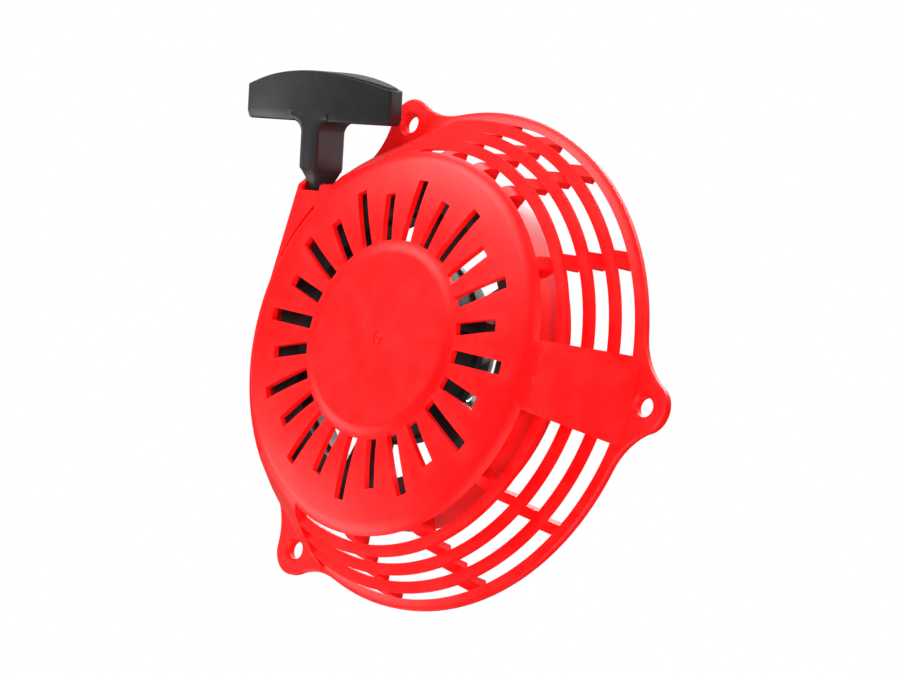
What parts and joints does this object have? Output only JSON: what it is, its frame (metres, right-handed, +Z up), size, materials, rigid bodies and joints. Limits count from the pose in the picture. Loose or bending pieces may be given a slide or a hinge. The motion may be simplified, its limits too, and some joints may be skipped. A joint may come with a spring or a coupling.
{
  "type": "recoil starter",
  "caption": "Round louvred recoil starter with a pull rope, T-grip, spring-return reel and pawl ratchet; bolts to a small engine by three ears.",
  "frame": {"origin": "centre of the mounting-hole circle, on the crank axis, in the plane of the ears' back faces", "axes": "+Z up, -Y towards the front of the starter, +Y towards the engine along the crank axis, +X to the right seen from the front"},
  "size_m": [0.1802, 0.0371, 0.1895],
  "materials": {
    "red_plastic": "satin",
    "grip_plastic": "satin",
    "cap_plastic": "satin",
    "reel_plastic": "matte",
    "rope": "braided",
    "spring_steel": "oiled",
    "pawl_steel": "satin",
    "zinc_steel": "zinc plated",
    "brass": "satin"
  },
  "bodies": {
    "housing": {"starter_housing": "red_plastic", "rope_eyelet": "zinc_steel", "post_insert": "brass", "centre_screw": "zinc_steel", "thrust_washer": "zinc_steel", "recoil_spring": "spring_steel"},
    "reel": {"reel": "reel_plastic", "rope_wound": "rope", "reel_rope_knot": "rope", "pawl_spring_1": "spring_steel", "pawl_spring_2": "spring_steel"},
    "pawl_1": {"pawl_1": "pawl_steel"},
    "pawl_2": {"pawl_2": "pawl_steel"},
    "guide": {"ratchet_guide": "zinc_steel", "friction_spring": "spring_steel"},
    "grip": {"grip_body": "grip_plastic", "grip_cap": "cap_plastic", "grip_washer": "zinc_steel", "grip_rope_knot": "rope", "rope_run": "rope"}
  },
  "joints": [
    {"name": "reel_spin", "type": "hinge", "parent": "housing", "child": "reel", "pos_m": [0, 0, 0], "axis": [0, 1, 0], "range_deg": [0, 1335], "stiffness_Nm_per_rad": 0.01, "springref_deg": -1145.92, "deforming": ["recoil_spring"]},
    {"name": "handle_pull", "type": "slide", "parent": "housing", "child": "grip", "axis": [0.1924, -0.2301, 0.954], "range_m": [0, 1.2], "deforming": ["rope_run"]},
    {"name": "pawl_1_swing", "type": "hinge", "parent": "reel", "child": "pawl_1", "pos_m": [0.021, -0.0166, 0], "axis": [0, -1, 0], "range_deg": [0, 26], "deforming": ["pawl_spring_1"]},
    {"name": "pawl_2_swing", "type": "hinge", "parent": "reel", "child": "pawl_2", "pos_m": [-0.021, -0.0166, 0], "axis": [0, -1, 0], "range_deg": [0, 26], "deforming": ["pawl_spring_2"]},
    {"name": "guide_turn", "type": "hinge", "parent": "reel", "child": "guide", "pos_m": [0, -0.0114, 0], "axis": [0, -1, 0], "range_deg": [0, 24]}
  ],
  "couplings": [
    {"joint": "handle_pull", "follows": "reel_spin", "m_per_rad": 0.0515},
    {"joint": "pawl_2_swing", "follows": "pawl_1_swing", "ratio": 1},
    {"joint": "guide_turn", "follows": "pawl_1_swing", "ratio": 0.92308}
  ]
}
